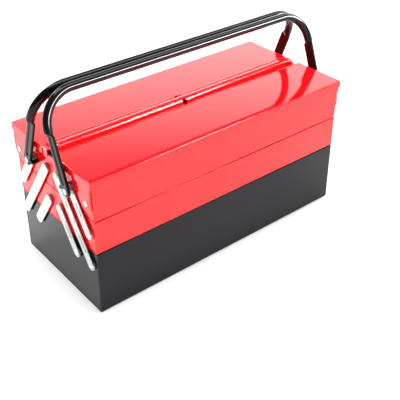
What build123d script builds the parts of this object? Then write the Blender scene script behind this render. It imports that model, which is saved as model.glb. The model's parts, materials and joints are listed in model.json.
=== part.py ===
from build123d import *

import os
from math import acos, atan2, cos, degrees, hypot, pi, sin

# A folding steel toolbox: an open base, two pairs of trays stacked on it, two hinged lids and
# two bent handles.  X runs along the box, Y across it, Z up.  The origin is on the floor, under
# the middle of the box.  "front" is the -Y half and "rear" the +Y half; "left" is the -X end.
# Places across the box are given by u, the distance outwards from the middle plane.

# ---- driving dimensions, millimetres ----
LENGTH = 450.0              # base and trays, along X
HALF_WIDTH = 100.0          # middle plane to either long side
BASE_HEIGHT = 100.0
TIER = 51.2                 # from one rim to the next
SEAT_GAP = 0.3              # between a tray and the rim it sits on
MID_GAP = 0.3               # between a tray and the middle plane

SHEET = 1.0                 # steel sheet
BEND = 2.2                  # outer radius of a fold
HEM_THICK = 2.4             # a rim folded in on itself
HEM_DEPTH = 6.0
HEM_ROUND = 1.0
FLANGE = 10.0               # tabs of the end plates, spot-welded to the channel
HEM_PLAY = 0.1              # between an end plate's rim and the long hems

LINK_STEP = 36.4            # spacing of the pivots across the box
PIVOT_Z = 77.0              # lowest row of pivots
PIVOT_INNER_U = 14.6
LINK_WIDTH = 15.0
LINK_THICK = 1.6
LINK_STANDOFF = 2.0         # thickness of the spacers behind the links
SMALL_HOLE_RADIUS = 1.3
SMALL_HOLE_AT = 12.6        # below each upper pivot of a link
RIB_WIDTH = 4.4
RIB_HEIGHT = 0.6
RIB_FROM = 17.0             # the rib's ends, above the lower pivot
RIB_TO = 46.0
RIB_TAPER = 30.0            # degrees, its sides
LINK_EDGE = 0.4

SHANK_RADIUS = 2.5
HEAD_RADIUS = 4.1
HEAD_HEIGHT = 1.3
HEAD_EDGE = 0.5
DIMPLE_RADIUS = 1.4
DIMPLE_DEPTH = 0.5
INNER_HEAD_HEIGHT = 1.4
SPACER_RADIUS = 5.5
RUNNING_CLEARANCE = 0.05    # radial, round the shank of a rivet
SIDE_PLAY = 0.05            # along the pivot, beside each moving plate

LID_OVERHANG = 2.8          # lid lip outside the long sides
LID_END_GAP = 3.0           # between a tray's end and the lid's end lip
LID_LOW = 203.9
LID_TOP = 214.5
LID_FOLD = 1.3              # radius of the lid's top edges
LID_SLOT = (11.6, 15.4, LID_LOW, 212.8)     # rear lid's end lips: y from, y to, z from, z to
LID_PIVOT = (87.4, 176.6)   # u, z
EAR_RADIUS = 12.4
EAR_TOE_U = 55.0            # where the ear's slanted edge meets the lip
EAR_LAP = 6.5               # how far an ear reaches up behind the lip
EAR_SLOT = (97.0, 98.6, 177.0, 197.5)       # u from, u to, z from, z to

BEAD_CENTRE_Y = -1.2        # the rounded ridge pressed into the front lid
BEAD_HALF_WIDTH = 11.0
BEAD_HEIGHT = 7.3
BEAD_END_X = 220.5          # the ridge stops short of the lid's ends
BEAD_END_RADIUS = 6.0
PARTING_GAP = 1.0           # between the ridge and the rear lid's raised edge
REAR_EDGE_FOOT_Y = 21.5     # where the rear lid starts to rise towards its edge
REAR_EDGE_TOP_Y = 13.4
REAR_EDGE_HEIGHT = 3.4
REAR_EDGE_ROUND = 0.8
TAB_X = 221.2               # past the ridge's ends the rear lid reaches further forward
TAB_Y = 1.6
FRONT_LIP_Y = -2.5          # the front lid's end lips stop here
FRONT_PANEL_Y = -13.8       # its flat top stops here past the ridge's ends
FRONT_LIP_STEP_Z = 209.0    # height of the lip between the two
PADLOCK_HOLE_RADIUS = 3.7
PADLOCK_HOLE_X = -5.0
PADLOCK_HOLE_Z = 217.3

TUBE_RADIUS = 6.35          # handle tube
TUBE_WALL = 1.3
TUBE_X = 235.7              # legs of the handle, from the middle of the box
HANDLE_REACH = 127.0        # pivot to grip
HANDLE_LEAN = 20.3          # degrees, each handle towards the middle
HANDLE_CORNER = 47.0
HANDLE_STANDOFF = 3.2       # spacer between the outer link and the handle
FLAT_WIDTH = 17.2           # the flattened lower legs
FLAT_THICK = 4.2
FLAT_EDGE = 1.4
FLAT_END = 74.0             # the leg is flat up to here and round from ROUND_START on
ROUND_START = 79.5
GROOVE_FROM = 9.0           # the flattened tube is dished along its outer face
GROOVE_RADIUS = 5.0
GROOVE_DEPTH = 1.4
STOP_OFFSET = (-12.6, 0.5)  # handle stop, from the handle's pivot: u, z
STOP_RADIUS = 3.0
STOP_NECK_RADIUS = 2.8
STOP_TAIL_RADIUS = 2.0

# ---- derived places ----
END_X = LENGTH / 2
LINK_INNER_X = END_X + LINK_STANDOFF + SIDE_PLAY
LINK_OUTER_X = LINK_INNER_X + LINK_THICK
LINK_HEAD_X = LINK_OUTER_X + SIDE_PLAY
LID_END_X = END_X + LID_END_GAP + SHEET
EAR_INNER_X = LID_END_X - 2 * SHEET
FLAT_INNER_X = LINK_HEAD_X + HANDLE_STANDOFF + SIDE_PLAY
FLAT_OUTER_X = FLAT_INNER_X + FLAT_THICK
LINK_LEAN = degrees(atan2(LINK_STEP, TIER))
LINK_HALF = hypot(LINK_STEP, TIER)
PIVOT_U = tuple(PIVOT_INNER_U + column * LINK_STEP for column in range(3))
PIVOT_ROWS = tuple(PIVOT_Z + row * TIER for row in range(3))
HANDLE_PIVOT = (PIVOT_U[1], PIVOT_ROWS[2])
BEAD_EDGE_Y = BEAD_CENTRE_Y + BEAD_HALF_WIDTH
REAR_LID_Y = BEAD_EDGE_Y + PARTING_GAP
BASE_RIM = BASE_HEIGHT
TRAY_RIMS = (BASE_RIM + TIER, BASE_RIM + 2 * TIER)
ENDS = {"left": -1, "right": 1}
SIDES = {"front": -1, "rear": 1}


def rad(angle):
    return angle * pi / 180


def save(builder, name):
    """Label a finished piece and write it as parts/<name>.step."""
    builder.part.label = name
    export_step(builder.part, f"parts/{name}.step")


def span(values):
    """Lowest and highest of a pair."""
    return min(values), max(values)


# ---- folded sheet: base and trays ----
def folded_channel(y_pair, z_floor, z_rim):
    """Floor and two long walls folded from one sheet, each rim turned in as a hem."""
    y_low, y_high = span(y_pair)
    with BuildPart() as channel:
        with BuildSketch(Plane.YZ.offset(-END_X)):
            with Locations(((y_low + y_high) / 2, (z_floor + z_rim) / 2)):
                Rectangle(y_high - y_low, z_rim - z_floor)
            fillet(vertices().group_by(Axis.Y)[0], BEND)
            inner = (y_high - y_low - 2 * SHEET, z_rim - z_floor)
            with Locations(((y_low + y_high) / 2, (z_floor + z_rim) / 2 + SHEET)):
                Rectangle(*inner, mode=Mode.SUBTRACT)
            inner_low = [v for v in vertices() if abs(v.Y - z_floor - SHEET) < 0.01]
            fillet(inner_low, BEND - SHEET)
            for wall_y, inward in ((y_low, 1), (y_high, -1)):
                with Locations((wall_y + inward * HEM_THICK / 2, z_rim - HEM_DEPTH / 2)):
                    Rectangle(HEM_THICK, HEM_DEPTH)
            fillet(vertices().group_by(Axis.Y)[-1], HEM_ROUND)
        extrude(amount=LENGTH)
    return channel


def end_plate(end, y_pair, z_floor, z_rim, holes):
    """Pressed end: web, floor tab, hemmed rim and two side tabs inside the channel."""
    y_low, y_high = span(y_pair)
    floor = z_floor + SHEET
    inside = (y_low + SHEET, y_high - SHEET)
    between_hems = (y_low + HEM_THICK + HEM_PLAY, y_high - HEM_THICK - HEM_PLAY)
    with BuildPart() as plate:
        with BuildSketch(Plane.XZ.offset(-between_hems[1])):
            with Locations((end * (END_X - FLANGE / 2), (floor + z_rim) / 2)):
                Rectangle(FLANGE, z_rim - floor)
            fillet([v for v in vertices() if abs(abs(v.X) - END_X) < 0.01 and v.Y < floor + 1], BEND)
            with Locations((end * (END_X - SHEET - FLANGE / 2), (floor + z_rim) / 2 + SHEET)):
                Rectangle(FLANGE, z_rim - floor, mode=Mode.SUBTRACT)
            with Locations((end * (END_X - HEM_THICK / 2), z_rim - HEM_DEPTH / 2)):
                Rectangle(HEM_THICK, HEM_DEPTH)
            fillet(vertices().group_by(Axis.Y)[-1], HEM_ROUND)
        extrude(amount=between_hems[1] - between_hems[0])
        with BuildSketch(Plane.XY.offset(floor + BEND)):
            with Locations((end * (END_X - FLANGE / 2), sum(inside) / 2)):
                Rectangle(FLANGE, inside[1] - inside[0])
            fillet([v for v in vertices() if abs(abs(v.X) - END_X) < 0.01], BEND)
            with Locations((end * (END_X - SHEET - FLANGE / 2), sum(inside) / 2)):
                Rectangle(FLANGE, inside[1] - inside[0] - 2 * SHEET, mode=Mode.SUBTRACT)
        extrude(amount=z_rim - HEM_DEPTH - HEM_PLAY - floor - BEND)
        for y, z, radius in holes:
            with BuildSketch(Plane.YZ.offset(end * END_X)):
                with Locations((y, z)):
                    Circle(radius)
            extrude(amount=SHEET * 2, both=True, mode=Mode.SUBTRACT)
    return plate


# ---- turned and headed parts on the pivots ----
def axis_plane(end, y, z):
    """Plane through a pivot's axis; its local x runs outwards along the axis."""
    return Plane(origin=(0, y, z), x_dir=(end, 0, 0), z_dir=(0, 1, 0))


def rivet(end, y, z, head_x):
    """A rivet through the end plate: flat head inside, domed head with a dimple outside."""
    seat_x = END_X - SHEET
    inside_x = seat_x - INNER_HEAD_HEIGHT
    top_x = head_x + HEAD_HEIGHT
    with BuildPart() as pin:
        with BuildSketch(axis_plane(end, y, z)):
            with BuildLine():
                Polyline(
                    (top_x - DIMPLE_DEPTH, 0),
                    (inside_x, 0),
                    (inside_x, HEAD_RADIUS - HEAD_EDGE),
                    (inside_x + HEAD_EDGE, HEAD_RADIUS),
                    (seat_x, HEAD_RADIUS),
                    (seat_x, SHANK_RADIUS),
                    (head_x, SHANK_RADIUS),
                    (head_x, HEAD_RADIUS),
                    (head_x + HEAD_EDGE, HEAD_RADIUS),
                )
                ThreePointArc(
                    (head_x + HEAD_EDGE, HEAD_RADIUS),
                    (top_x - HEAD_EDGE / 2, (HEAD_RADIUS + DIMPLE_RADIUS) / 2),
                    (top_x, DIMPLE_RADIUS),
                )
                Line((top_x, DIMPLE_RADIUS), (top_x - DIMPLE_DEPTH, 0))
            make_face()
        revolve(axis=Axis((0, y, z), (1, 0, 0)))
    return pin.part


def rivet_group(places):
    """Rivets of one body, as separate solids: places are (end, y, z, x of the head's seat)."""
    pins = [rivet(*place) for place in places]
    with BuildPart() as rivets:
        add(pins)
    return rivets


def spacer_group(places):
    """Washers that hold the moving plates clear: (end, y, z, x from, x to, radius)."""
    with BuildPart() as spacers:
        for end, y, z, x_from, x_to, radius in places:
            with BuildSketch(Plane(origin=(end * x_from, y, z), x_dir=(0, 1, 0), z_dir=(end, 0, 0))):
                Circle(radius)
                Circle(SHANK_RADIUS, mode=Mode.SUBTRACT)
            extrude(amount=x_to - x_from)
    return spacers


# ---- links ----
def link(end, side, u, z, halves):
    """Flat steel link leaning inwards from its lower pivot, one or two tiers long."""
    along = (0, -side * sin(rad(LINK_LEAN)), cos(rad(LINK_LEAN)))
    inner = Plane(origin=(end * LINK_INNER_X, side * u, z), x_dir=along, z_dir=(end, 0, 0))
    outer = inner.offset(LINK_THICK)
    length = halves * LINK_HALF
    with BuildPart() as bar:
        with BuildSketch(inner):
            with Locations((length / 2, 0)):
                SlotCenterToCenter(length, LINK_WIDTH)
        extrude(amount=LINK_THICK)
        fillet(faces().filter_by(Axis.X).edges(), LINK_EDGE)
        for half in range(halves):
            with BuildSketch(outer):
                with Locations((half * LINK_HALF + (RIB_FROM + RIB_TO) / 2, 0)):
                    SlotOverall(RIB_TO - RIB_FROM, RIB_WIDTH)
            extrude(amount=RIB_HEIGHT, taper=RIB_TAPER)
        with BuildSketch(inner):
            for row in range(halves + 1):
                with Locations((row * LINK_HALF, 0)):
                    Circle(SHANK_RADIUS + RUNNING_CLEARANCE)
                if row > 0:
                    with Locations((row * LINK_HALF - SMALL_HOLE_AT, 0)):
                        Circle(SMALL_HOLE_RADIUS)
        extrude(amount=LINK_THICK * 2, mode=Mode.SUBTRACT)
    return bar


# ---- lids ----
def lid_cap(side, inner_y):
    """Pressed cap: a flat top with a lip outside and at both ends, open towards the middle."""
    outer_y = side * (HALF_WIDTH + LID_OVERHANG)
    middle_y = (outer_y + inner_y) / 2
    width = abs(outer_y - inner_y)
    with BuildPart() as cap:
        with BuildSketch(Plane.XY.offset(LID_LOW)):
            with Locations((0, middle_y)):
                Rectangle(2 * LID_END_X, width)
            fillet(vertices().filter_by(lambda v: abs(v.Y - outer_y) < 0.01), BEND)
        extrude(amount=LID_TOP - LID_LOW)
        top_edges = faces().sort_by(Axis.Z)[-1].edges()
        fillet(top_edges.filter_by(lambda e: abs(e.center().Y - inner_y) > 0.01), LID_FOLD)
        with BuildSketch(Plane.XY.offset(LID_LOW)):
            with Locations((0, middle_y - side * SHEET)):
                Rectangle(2 * (LID_END_X - SHEET), width)
        extrude(amount=LID_TOP - LID_LOW - SHEET, mode=Mode.SUBTRACT)
    return cap.part


def lid_ear(end, side):
    """Hinge plate welded behind an end lip, round about its hinge rivet, with a relief slot."""
    u, z = LID_PIVOT
    toe = (EAR_TOE_U - u, LID_LOW - z)
    tangent = atan2(toe[1], toe[0]) + acos(EAR_RADIUS / hypot(*toe))
    slot_u_from, slot_u_to, slot_z_from, slot_z_to = EAR_SLOT
    with BuildPart() as ear:
        with BuildSketch(Plane.YZ.offset(end * EAR_INNER_X)):
            with BuildLine():
                Polyline(
                    (side * EAR_TOE_U, LID_LOW + EAR_LAP),
                    (side * EAR_TOE_U, LID_LOW),
                    (side * (u + EAR_RADIUS * cos(tangent)), z + EAR_RADIUS * sin(tangent)),
                    (side * u, z),
                    (side * (u + EAR_RADIUS), z),
                    (side * (u + EAR_RADIUS), LID_LOW + EAR_LAP),
                    close=True,
                )
            make_face()
            with Locations((side * u, z)):
                Circle(EAR_RADIUS)
                Circle(SHANK_RADIUS + RUNNING_CLEARANCE, mode=Mode.SUBTRACT)
            with Locations((side * (slot_u_from + slot_u_to) / 2, (slot_z_from + slot_z_to) / 2)):
                Rectangle(slot_u_to - slot_u_from, slot_z_to - slot_z_from, mode=Mode.SUBTRACT)
        extrude(amount=end * SHEET)
    return ear


def end_cuts(blocks):
    """Blocks to cut from both ends of a lid: each is its x, y and z ranges."""
    with BuildPart() as cuts:
        for end in ENDS.values():
            for x_pair, y_pair, z_pair in blocks:
                centre = (end * sum(x_pair) / 2, sum(y_pair) / 2, sum(z_pair) / 2)
                with Locations(centre):
                    Box(x_pair[1] - x_pair[0], y_pair[1] - y_pair[0], z_pair[1] - z_pair[0])
    return cuts.part


def padlock_bore():
    """The straight hole across the ridge, near the middle of the box."""
    front_y = BEAD_CENTRE_Y - BEAD_HALF_WIDTH
    with BuildPart() as bore:
        with BuildSketch(Plane.XZ.offset(-front_y)):
            with Locations((PADLOCK_HOLE_X, PADLOCK_HOLE_Z)):
                Circle(PADLOCK_HOLE_RADIUS)
        extrude(amount=front_y - REAR_EDGE_FOOT_Y)
    return bore.part


def ridge_bar(inset):
    """Solid of the round ridge along the front lid, with domed ends, drawn inset."""
    foot = LID_TOP - SHEET
    half = BEAD_HALF_WIDTH - inset
    end_x = BEAD_END_X - inset
    with BuildPart() as bar:
        with BuildSketch(Plane.YZ.offset(-end_x)):
            with BuildLine():
                ThreePointArc(
                    (BEAD_CENTRE_Y - half, foot),
                    (BEAD_CENTRE_Y, LID_TOP + BEAD_HEIGHT - inset),
                    (BEAD_CENTRE_Y + half, foot),
                )
                Line((BEAD_CENTRE_Y + half, foot), (BEAD_CENTRE_Y - half, foot))
            make_face()
        extrude(amount=2 * end_x)
        fillet(edges().filter_by(GeomType.CIRCLE), BEAD_END_RADIUS - inset)
    return bar.part


def raised_edge_bar(inset):
    """Solid of the rear lid's raised edge, which closes against the ridge, drawn inset."""
    foot = LID_TOP - SHEET
    top = LID_TOP + REAR_EDGE_HEIGHT - inset
    with BuildPart() as bar:
        with BuildSketch(Plane.YZ.offset(inset - BEAD_END_X)):
            with BuildLine():
                Polyline(
                    (REAR_LID_Y + inset, foot),
                    (REAR_LID_Y + inset, top),
                    (REAR_EDGE_TOP_Y - inset / 2, top),
                    (REAR_EDGE_FOOT_Y - inset / 2, foot),
                    close=True,
                )
            make_face()
            fillet(vertices().group_by(Axis.Y)[-1], REAR_EDGE_ROUND - inset / 2)
        extrude(amount=2 * (BEAD_END_X - inset))
    return bar.part


def finished_lid(side, inner_y, raised, hollow, blocks):
    """A lid from its cap and the raised strip along its inner edge, less the end cuts."""
    with BuildPart() as lid:
        add(lid_cap(side, inner_y))
        add(end_cuts(blocks), mode=Mode.SUBTRACT)
        add(raised)
        add((hollow, padlock_bore()), mode=Mode.SUBTRACT)
    return lid


# ---- handles ----
def handle(side):
    """Bent tube with two flattened legs, each pierced for its pivot."""
    along = Vector(0, -side * sin(rad(HANDLE_LEAN)), cos(rad(HANDLE_LEAN)))
    pivot = Vector(0, side * HANDLE_PIVOT[0], HANDLE_PIVOT[1])
    bend_plane = Plane(origin=pivot, x_dir=(1, 0, 0), z_dir=Vector(1, 0, 0).cross(along))
    with BuildPart() as bail:
        for end in ENDS.values():
            flat = Plane(origin=pivot + Vector(end * FLAT_INNER_X, 0, 0), x_dir=along, z_dir=(end, 0, 0))
            with BuildSketch(flat):
                with Locations((FLAT_END / 2, 0)):
                    Rectangle(FLAT_END, FLAT_WIDTH)
                Circle(FLAT_WIDTH / 2)
            extrude(amount=FLAT_THICK)
        sharp = edges().filter_by(lambda e: (e.center() - pivot).dot(along) < FLAT_END - 1)
        fillet(sharp.filter_by(lambda e: e.length > FLAT_THICK + 1), FLAT_EDGE)
        for end in ENDS.values():
            flat_end = pivot + along * FLAT_END + Vector(end * (FLAT_INNER_X + FLAT_THICK / 2), 0, 0)
            round_end = pivot + along * ROUND_START + Vector(end * TUBE_X, 0, 0)
            with BuildSketch(Plane(origin=flat_end, x_dir=(1, 0, 0), z_dir=along)):
                RectangleRounded(FLAT_THICK, FLAT_WIDTH, FLAT_EDGE)
            with BuildSketch(Plane(origin=round_end, x_dir=(1, 0, 0), z_dir=along)):
                Circle(TUBE_RADIUS)
            loft()
            with BuildSketch(Plane(origin=pivot, x_dir=along, z_dir=(1, 0, 0))):
                Circle(SHANK_RADIUS + RUNNING_CLEARANCE)
            extrude(amount=end * FLAT_OUTER_X * 2, mode=Mode.SUBTRACT)
            groove_x = end * (FLAT_OUTER_X + GROOVE_RADIUS - GROOVE_DEPTH)
            groove_start = pivot + along * GROOVE_FROM + Vector(groove_x, 0, 0)
            with BuildSketch(Plane(origin=groove_start, x_dir=(1, 0, 0), z_dir=along)):
                Circle(GROOVE_RADIUS)
            extrude(amount=FLAT_END - GROOVE_FROM, mode=Mode.SUBTRACT)
        with BuildLine(bend_plane) as bend:
            FilletPolyline(
                (-TUBE_X, ROUND_START),
                (-TUBE_X, HANDLE_REACH),
                (TUBE_X, HANDLE_REACH),
                (TUBE_X, ROUND_START),
                radius=HANDLE_CORNER,
            )
        with BuildSketch(Plane(origin=bend.line @ 0, x_dir=(1, 0, 0), z_dir=bend.line % 0)):
            Circle(TUBE_RADIUS)
            Circle(TUBE_RADIUS - TUBE_WALL, mode=Mode.SUBTRACT)
        sweep()
    return bail


def handle_stops(side):
    """Headed studs beside the handle's pivots, on which the upright handle leans."""
    y = side * (HANDLE_PIVOT[0] + STOP_OFFSET[0])
    z = HANDLE_PIVOT[1] + STOP_OFFSET[1]
    inner_x = END_X - SHEET
    with BuildPart() as studs:
        for end in ENDS.values():
            with BuildSketch(axis_plane(end, y, z)):
                with BuildLine():
                    Polyline(
                        (inner_x - INNER_HEAD_HEIGHT, 0),
                        (inner_x - INNER_HEAD_HEIGHT, STOP_RADIUS),
                        (inner_x, STOP_RADIUS),
                        (inner_x, STOP_TAIL_RADIUS),
                        (END_X, STOP_TAIL_RADIUS),
                        (END_X, STOP_NECK_RADIUS),
                        (LINK_HEAD_X, STOP_NECK_RADIUS),
                        (LINK_HEAD_X, STOP_RADIUS),
                        (FLAT_OUTER_X - 1, STOP_RADIUS),
                        (FLAT_OUTER_X, STOP_RADIUS - 1),
                        (FLAT_OUTER_X, 0),
                        close=True,
                    )
                make_face()
            revolve(axis=Axis((0, y, z), (1, 0, 0)))
    return studs


# ---- build and write every piece ----
def pivot_place(side, column, row):
    """Place of a pivot: column 0 is nearest the middle, row 0 is the lowest."""
    return side * PIVOT_U[column], PIVOT_ROWS[row]


def base_pieces():
    """The open base, its ends and the pivots of the two lower link rows."""
    walls = (-HALF_WIDTH, HALF_WIDTH)
    save(folded_channel(walls, 0, BASE_RIM), "base_shell")
    pivots = [pivot_place(side, column, 0) for side in SIDES.values() for column in (1, 2)]
    holes = [(y, z, SHANK_RADIUS) for y, z in pivots]
    for name, end in ENDS.items():
        save(end_plate(end, walls, 0, BASE_RIM, holes), f"base_{name}_end")
    places = [(end, y, z) for end in ENDS.values() for y, z in pivots]
    save(rivet_group([(*place, LINK_HEAD_X) for place in places]), "base_rivets")
    spacers = [(*place, END_X, END_X + LINK_STANDOFF, SPACER_RADIUS) for place in places]
    save(spacer_group(spacers), "base_spacers")


def lower_tray_pieces(side_name, side):
    """A lower tray, its ends and its three pivots at each end."""
    walls = (side * MID_GAP, side * HALF_WIDTH)
    floor = BASE_RIM + SEAT_GAP
    save(folded_channel(walls, floor, TRAY_RIMS[0]), f"{side_name}_lower_tray")
    pivots = [pivot_place(side, column, 1) for column in range(3)]
    holes = [(y, z, SHANK_RADIUS) for y, z in pivots]
    for name, end in ENDS.items():
        plate = end_plate(end, walls, floor, TRAY_RIMS[0], holes)
        save(plate, f"{side_name}_lower_tray_{name}_end")
    places = [(end, y, z) for end in ENDS.values() for y, z in pivots]
    save(rivet_group([(*place, LINK_HEAD_X) for place in places]), f"{side_name}_lower_tray_rivets")
    spacers = [(*place, END_X, END_X + LINK_STANDOFF, SPACER_RADIUS) for place in places]
    save(spacer_group(spacers), f"{side_name}_lower_tray_spacers")


def upper_tray_pieces(side_name, side):
    """An upper tray with the pivots of its links, its handle and its lid."""
    walls = (side * MID_GAP, side * HALF_WIDTH)
    floor = TRAY_RIMS[0] + SEAT_GAP
    save(folded_channel(walls, floor, TRAY_RIMS[1]), f"{side_name}_upper_tray")
    link_pivot = pivot_place(side, 0, 2)
    handle_pivot = pivot_place(side, 1, 2)
    lid_pivot = (side * LID_PIVOT[0], LID_PIVOT[1])
    stop = (handle_pivot[0] + side * STOP_OFFSET[0], handle_pivot[1] + STOP_OFFSET[1])
    holes = [(*place, SHANK_RADIUS) for place in (link_pivot, handle_pivot, lid_pivot)]
    holes.append((*stop, STOP_TAIL_RADIUS))
    for name, end in ENDS.items():
        plate = end_plate(end, walls, floor, TRAY_RIMS[1], holes)
        save(plate, f"{side_name}_upper_tray_{name}_end")
    rivets = []
    spacers = []
    lid_rivets = []
    for end in ENDS.values():
        rivets.append((end, *link_pivot, LINK_HEAD_X))
        rivets.append((end, *handle_pivot, FLAT_OUTER_X + SIDE_PLAY))
        lid_rivets.append((end, *lid_pivot, EAR_INNER_X + SHEET + SIDE_PLAY))
        for pivot in (link_pivot, handle_pivot):
            spacers.append((end, *pivot, END_X, END_X + LINK_STANDOFF, SPACER_RADIUS))
        spacers.append((end, *handle_pivot, LINK_HEAD_X, FLAT_INNER_X - SIDE_PLAY, SPACER_RADIUS))
        spacers.append((end, *lid_pivot, END_X, EAR_INNER_X - SIDE_PLAY, SPACER_RADIUS))
    save(rivet_group(rivets), f"{side_name}_upper_tray_rivets")
    save(rivet_group(lid_rivets), f"{side_name}_lid_rivets")
    save(spacer_group(spacers), f"{side_name}_upper_tray_spacers")
    save(handle_stops(side), f"{side_name}_handle_stops")
    save(handle(side), f"{side_name}_handle")


def link_pieces(side_name, side):
    """Three links at each end: inner and outer ones span one tier, the long one two."""
    for name, end in ENDS.items():
        inner = link(end, side, PIVOT_U[1], PIVOT_ROWS[0], 1)
        save(inner, f"{side_name}_{name}_inner_link")
        long = link(end, side, PIVOT_U[2], PIVOT_ROWS[0], 2)
        save(long, f"{side_name}_{name}_long_link")
        outer = link(end, side, PIVOT_U[2], PIVOT_ROWS[1], 1)
        save(outer, f"{side_name}_{name}_outer_link")


def lid_pieces():
    """The front lid carries the ridge, the rear lid the raised edge that closes against it."""
    past_end = (TAB_X, LID_END_X + 1)
    full_height = (LID_LOW - 1, LID_TOP + 1)
    front_blocks = (
        (past_end, (FRONT_LIP_Y, BEAD_EDGE_Y + 1), full_height),
        (past_end, (FRONT_PANEL_Y, FRONT_LIP_Y), (FRONT_LIP_STEP_Z, LID_TOP + 1)),
    )
    front = finished_lid(SIDES["front"], BEAD_EDGE_Y, ridge_bar(0), ridge_bar(SHEET), front_blocks)
    save(front, "front_lid")
    slot_y_from, slot_y_to, slot_z_from, slot_z_to = LID_SLOT
    rear_blocks = (
        ((0, TAB_X), (TAB_Y - 1, REAR_LID_Y), full_height),
        (past_end, (slot_y_from, slot_y_to), (slot_z_from - 1, slot_z_to)),
    )
    rear = finished_lid(SIDES["rear"], TAB_Y, raised_edge_bar(0), raised_edge_bar(SHEET), rear_blocks)
    save(rear, "rear_lid")
    for side_name, side in SIDES.items():
        for name, end in ENDS.items():
            save(lid_ear(end, side), f"{side_name}_lid_{name}_ear")


os.makedirs("parts", exist_ok=True)
base_pieces()
for side_name, side in SIDES.items():
    lower_tray_pieces(side_name, side)
    upper_tray_pieces(side_name, side)
    link_pieces(side_name, side)
lid_pieces()
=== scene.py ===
"""Folding steel toolbox: finishes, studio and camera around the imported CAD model. Metres, +Z up."""
import json
import math

import bpy
from mathutils import Matrix, Vector

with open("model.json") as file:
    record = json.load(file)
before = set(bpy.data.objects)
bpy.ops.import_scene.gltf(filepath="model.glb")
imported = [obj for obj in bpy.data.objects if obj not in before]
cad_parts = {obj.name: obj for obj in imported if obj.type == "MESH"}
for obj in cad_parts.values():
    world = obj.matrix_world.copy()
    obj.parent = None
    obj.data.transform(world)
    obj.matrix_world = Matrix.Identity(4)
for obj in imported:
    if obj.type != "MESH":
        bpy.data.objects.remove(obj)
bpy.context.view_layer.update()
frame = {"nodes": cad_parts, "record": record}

# ---- camera: where it stands, seen from a point inside the box ----
CAMERA_TARGET = Vector((0, -0.0052, 0.1304))
CAMERA_AZIMUTH = math.radians(-38.5)
CAMERA_ELEVATION = math.radians(31.0)
CAMERA_DISTANCE = 1.1494
CAMERA_ROLL = math.radians(-0.36)
LENS_MM = 67.75
SENSOR_MM = 36.0
SHIFT = (0.0345, -0.1238)

# ---- finishes: noise scales in features per metre, relief in metres ----
RAMP_ENDS = (0.35, 0.65)        # noise values that take the two ends of a range
TONE_SCALE = 9.0
SMEAR_SCALE = 45.0
PEEL_SCALE = 420.0
PEEL_RELIEF = 0.00001
CLOUD_SCALE = 160.0
STREAK_SCALE = 900.0
STREAK_RELIEF = 0.00002
EVEN_GRAIN = (1, 1, 1)
UPRIGHT_GRAIN = (1, 1, 0.1)     # streaks drawn out along Z

# ---- studio ----
FLOOR_SIZE = 14.0
FLOOR_GREY = 0.97
FLOOR_ROUGHNESS = 0.9
FLOOR_SPECULAR = 0.1

# The sky: radiances against the sine of the elevation, on two sides of the room.
BEHIND = ((0.0, 3.0), (0.40, 2.9), (0.44, 2.4), (0.476, 1.8), (0.524, 0.7), (0.56, 0.35), (1.0, 0.35))
IN_FRONT = ((0.0, 0.9), (0.08, 0.4), (0.16, 0.12), (0.80, 0.12), (0.95, 0.35), (1.0, 0.35))
BACKDROP_SIDE = (0.62, 0.78)    # X and Y of the way towards the bright side
BACKDROP_EDGE = (0.0, 0.4)      # the dark side turns into the bright side between these
SKY_SCALE = 4.0                 # colour ramps hold values up to one

# Two soft strips in the sky: centre, half width and soft edge as slopes from straight up, radiance.
LONG_STRIP = (-0.06, 0.14, 0.10, 9.0)       # runs along X
CROSS_STRIP = (-0.10, 0.14, 0.08, 6.5)      # runs along Y
STRIP_RISE = (0.15, 0.3)        # sines of elevation between which a strip fades in
STRIP_START = (-0.15, 0.15)     # where it fades in along its own length

# Soft boxes, each limited to one group of pieces: name, group, place, aim, size, watts.
SOFT_BOXES = (
    ("grip_box", "handles", (1.5, -2.1, 1.05), (0, 0, 0.28), (3.0, 0.45), 520),
    ("floor_box", "floor", (-1.2, -0.9, 1.3), (-0.3, -0.1, 0), (1.6, 1.6), 12),
    ("lid_box", "sheet", (1.3, -0.2, 2.2), (0, 0, 0.2), (1.8, 0.5), 60),
    ("lid_end_box", "sheet", (-0.1, 1.3, 2.2), (0, 0, 0.2), (0.5, 1.6), 110),
)
HANDLES = ("front_handle", "rear_handle")
SHEET_SLOTS = ("base_paint", "tray_red", "lid_red")


# ---- node helpers ----
def new_material(name):
    """A node material, its tree and its shader."""
    material = bpy.data.materials.new(name)
    material.use_nodes = True
    return material, material.node_tree, material.node_tree.nodes["Principled BSDF"]


def noise(tree, scale, detail=2.0, roughness=0.5, stretch=None):
    """Noise in object space; scale is in features per metre."""
    node = tree.nodes.new("ShaderNodeTexNoise")
    node.inputs["Scale"].default_value = scale
    node.inputs["Detail"].default_value = detail
    node.inputs["Roughness"].default_value = roughness
    source = tree.nodes.new("ShaderNodeTexCoord").outputs["Object"]
    if stretch:
        mapping = tree.nodes.new("ShaderNodeMapping")
        mapping.inputs["Scale"].default_value = stretch
        tree.links.new(source, mapping.inputs["Vector"])
        source = mapping.outputs["Vector"]
    tree.links.new(source, node.inputs["Vector"])
    return node.outputs["Fac"]


def ramp(tree, source, low, high):
    """Maps a 0 to 1 value onto two colours (or grey levels)."""
    node = tree.nodes.new("ShaderNodeValToRGB")
    for element, place, colour in zip(node.color_ramp.elements, RAMP_ENDS, (low, high)):
        element.position = place
        element.color = colour if isinstance(colour, tuple) else (colour, colour, colour, 1)
    tree.links.new(source, node.inputs["Fac"])
    return node.outputs["Color"]


def bump(tree, height, relief):
    """Surface normals for a small relief, in metres."""
    node = tree.nodes.new("ShaderNodeBump")
    node.inputs["Distance"].default_value = relief
    node.inputs["Strength"].default_value = 1.0
    tree.links.new(height, node.inputs["Height"])
    return node.outputs["Normal"]


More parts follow.
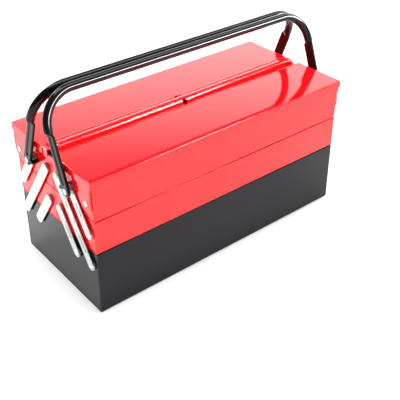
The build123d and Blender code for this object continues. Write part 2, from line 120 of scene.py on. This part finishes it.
def math_node(tree, operation, first, second):
    """A maths node on two sockets or numbers."""
    node = tree.nodes.new("ShaderNodeMath")
    node.operation = operation
    for socket, value in zip(node.inputs, (first, second)):
        if isinstance(value, (int, float)):
            socket.default_value = value
        else:
            tree.links.new(value, socket)
    return node.outputs["Value"]


def smooth_step(tree, value, start, end):
    """0 before start and 1 after end; the other way round if end is smaller."""
    node = tree.nodes.new("ShaderNodeMapRange")
    node.interpolation_type = "SMOOTHSTEP"
    low, high = sorted((start, end))
    results = (0.0, 1.0) if end > start else (1.0, 0.0)
    names = ("From Min", "From Max", "To Min", "To Max")
    for name, number in zip(names, (low, high, *results)):
        node.inputs[name].default_value = number
    tree.links.new(value, node.inputs["Value"])
    return node.outputs["Result"]


# ---- finishes ----
def enamel(name, colour, shade, ior, roughness):
    """Stoved gloss enamel on sheet: faint orange peel, and a little unevenness in gloss."""
    material, tree, shader = new_material(name)
    cloud = noise(tree, TONE_SCALE, detail=3.0)
    tone = ramp(tree, cloud, (*shade, 1), (*colour, 1))
    tree.links.new(tone, shader.inputs["Base Color"])
    smear = noise(tree, SMEAR_SCALE, detail=4.0, roughness=0.6)
    tree.links.new(ramp(tree, smear, *roughness), shader.inputs["Roughness"])
    peel = noise(tree, PEEL_SCALE, detail=1.0)
    tree.links.new(bump(tree, peel, PEEL_RELIEF), shader.inputs["Normal"])
    shader.inputs["IOR"].default_value = ior
    return material


def zinc(name, dull, bright, roughness, grain):
    """Bright zinc plate: a metal with a soft cloudy sheen and fine rolling marks."""
    material, tree, shader = new_material(name)
    cloud = noise(tree, CLOUD_SCALE, detail=4.0, roughness=0.6)
    tree.links.new(ramp(tree, cloud, (*dull, 1), (*bright, 1)), shader.inputs["Base Color"])
    streak = noise(tree, STREAK_SCALE, detail=3.0, stretch=grain)
    tree.links.new(ramp(tree, streak, *roughness), shader.inputs["Roughness"])
    tree.links.new(bump(tree, streak, STREAK_RELIEF), shader.inputs["Normal"])
    shader.inputs["Metallic"].default_value = 1.0
    return material


RED, RED_SHADE = (0.97, 0.003, 0.006), (0.94, 0.002, 0.005)
BASE_BLACK, BASE_SHADE = (0.006, 0.0066, 0.009), (0.005, 0.0060, 0.010)
GRIP_BLACK, GRIP_SHADE = (0.003, 0.003, 0.003), (0.002, 0.002, 0.002)
LINK_TONES = (0.50, 0.54, 0.54), (0.62, 0.66, 0.66)
RIVET_TONES = (0.66, 0.68, 0.70), (0.78, 0.79, 0.81)
SPACER_TONES = (0.45, 0.46, 0.48), (0.56, 0.57, 0.59)
FINISHES = {
    "tray_red": enamel("tray_enamel", RED, RED_SHADE, 1.5, (0.05, 0.09)),
    "lid_red": enamel("lid_enamel", RED, RED_SHADE, 1.5, (0.03, 0.06)),
    "base_paint": enamel("base_enamel", BASE_BLACK, BASE_SHADE, 1.29, (0.08, 0.14)),
    "handle_black": enamel("handle_enamel", GRIP_BLACK, GRIP_SHADE, 1.28, (0.06, 0.10)),
    "link_zinc": zinc("link_plate", *LINK_TONES, (0.24, 0.36), UPRIGHT_GRAIN),
    "rivet_steel": zinc("rivet_plate", *RIVET_TONES, (0.22, 0.34), EVEN_GRAIN),
    "spacer_steel": zinc("spacer_plate", *SPACER_TONES, (0.35, 0.5), EVEN_GRAIN),
}


def finish_nodes():
    """Gives each CAD node the finish of its slot in the record."""
    for part in frame["record"]["subparts"]:
        node = frame["nodes"][part["node"]]
        node.material_slots[0].material = FINISHES[part["material_slot"]]


# ---- studio ----
def make_floor():
    """A plain pale floor."""
    mesh = bpy.data.meshes.new("floor")
    half = FLOOR_SIZE / 2
    corners = [(x * half, y * half, 0) for x, y in ((-1, -1), (1, -1), (1, 1), (-1, 1))]
    mesh.from_pydata(corners, [], [(0, 1, 2, 3)])
    floor = bpy.data.objects.new("floor", mesh)
    bpy.context.scene.collection.objects.link(floor)
    material, _, shader = new_material("floor_paper")
    shader.inputs["Base Color"].default_value = (FLOOR_GREY, FLOOR_GREY, FLOOR_GREY, 1)
    shader.inputs["Roughness"].default_value = FLOOR_ROUGHNESS
    shader.inputs["Specular IOR Level"].default_value = FLOOR_SPECULAR
    mesh.materials.append(material)


def area_light(name, place, aim, size, power):
    """A soft box at place, facing aim; power is in watts."""
    data = bpy.data.lights.new(name, "AREA")
    data.shape = "RECTANGLE"
    data.size, data.size_y = size
    data.energy = power
    light = bpy.data.objects.new(name, data)
    light.location = place
    facing = Vector(aim) - Vector(place)
    light.rotation_euler = facing.to_track_quat("-Z", "Y").to_euler()
    bpy.context.scene.collection.objects.link(light)
    return light


def only_for(names, light):
    """Limits a light to some pieces, which a real lamp can't do."""
    lit = bpy.data.collections.new(light.name + "_lit")
    for name in names:
        lit.objects.link(frame["nodes"].get(name) or bpy.data.objects[name])
    light.light_linking.receiver_collection = lit


def sky_ramp(tree, height, stops):
    """Radiance against the sine of the elevation."""
    node = tree.nodes.new("ShaderNodeValToRGB")
    elements = node.color_ramp.elements
    while len(elements) < len(stops):
        elements.new(0.5)
    for element, (place, radiance) in zip(elements, stops):
        element.position = place
        element.color = (*(radiance / SKY_SCALE,) * 3, 1)
    tree.links.new(height, node.inputs["Fac"])
    return math_node(tree, "MULTIPLY", node.outputs["Color"], SKY_SCALE)


def strip(tree, across, height, along, spec):
    """A soft overhead strip: narrow in one direction, long in the other."""
    centre, half, soft, radiance = spec
    slope = math_node(tree, "DIVIDE", across, height)
    off = math_node(tree, "ABSOLUTE", math_node(tree, "SUBTRACT", slope, centre), 0)
    band = smooth_step(tree, off, half + soft, half)
    band = math_node(tree, "MULTIPLY", band, smooth_step(tree, height, *STRIP_RISE))
    band = math_node(tree, "MULTIPLY", band, smooth_step(tree, along, *STRIP_START))
    return math_node(tree, "MULTIPLY", band, radiance)


def make_world():
    """A sky that is bright and low on one side, dark on the other, with two strips overhead."""
    world = bpy.data.worlds.new("studio")
    world.use_nodes = True
    tree = world.node_tree
    split = tree.nodes.new("ShaderNodeSeparateXYZ")
    direction = tree.nodes.new("ShaderNodeTexCoord").outputs["Generated"]
    tree.links.new(direction, split.inputs["Vector"])
    x, y, z = split.outputs
    parts = [math_node(tree, "MULTIPLY", way, share) for way, share in zip((x, y), BACKDROP_SIDE)]
    behind = smooth_step(tree, math_node(tree, "ADD", *parts), *BACKDROP_EDGE)
    in_front = math_node(tree, "SUBTRACT", 1.0, behind)
    sky = math_node(tree, "MULTIPLY", behind, sky_ramp(tree, z, BEHIND))
    dark = math_node(tree, "MULTIPLY", in_front, sky_ramp(tree, z, IN_FRONT))
    sky = math_node(tree, "ADD", sky, dark)
    for band in (strip(tree, y, z, x, LONG_STRIP), strip(tree, x, z, y, CROSS_STRIP)):
        sky = math_node(tree, "ADD", sky, band)
    background = tree.nodes["Background"]
    background.inputs["Color"].default_value = (1, 1, 1, 1)
    tree.links.new(sky, background.inputs["Strength"])
    bpy.context.scene.world = world


def make_studio():
    """Sky, floor and soft boxes."""
    make_world()
    make_floor()
    sheets = [part["node"] for part in frame["record"]["subparts"]
              if part["material_slot"] in SHEET_SLOTS]
    groups = {"handles": HANDLES, "floor": ("floor",), "sheet": sheets}
    for name, group, place, aim, size, power in SOFT_BOXES:
        only_for(groups[group], area_light(name, place, aim, size, power))


def make_camera():
    """The camera, looking at its target along its azimuth and elevation."""
    data = bpy.data.cameras.new("camera")
    data.lens = LENS_MM
    data.sensor_width = SENSOR_MM
    data.shift_x, data.shift_y = SHIFT
    camera = bpy.data.objects.new("camera", data)
    level, rise = math.cos(CAMERA_ELEVATION), math.sin(CAMERA_ELEVATION)
    back = Vector((math.sin(CAMERA_AZIMUTH) * level, -math.cos(CAMERA_AZIMUTH) * level, rise))
    turn = (-back).to_track_quat("-Z", "Y").to_matrix() @ Matrix.Rotation(CAMERA_ROLL, 3, "Z")
    place = Matrix.Translation(CAMERA_TARGET + back * CAMERA_DISTANCE)
    camera.matrix_world = place @ turn.to_4x4()
    bpy.context.scene.collection.objects.link(camera)
    bpy.context.scene.camera = camera


finish_nodes()
make_studio()
make_camera()
bpy.context.scene.view_settings.view_transform = "Standard"
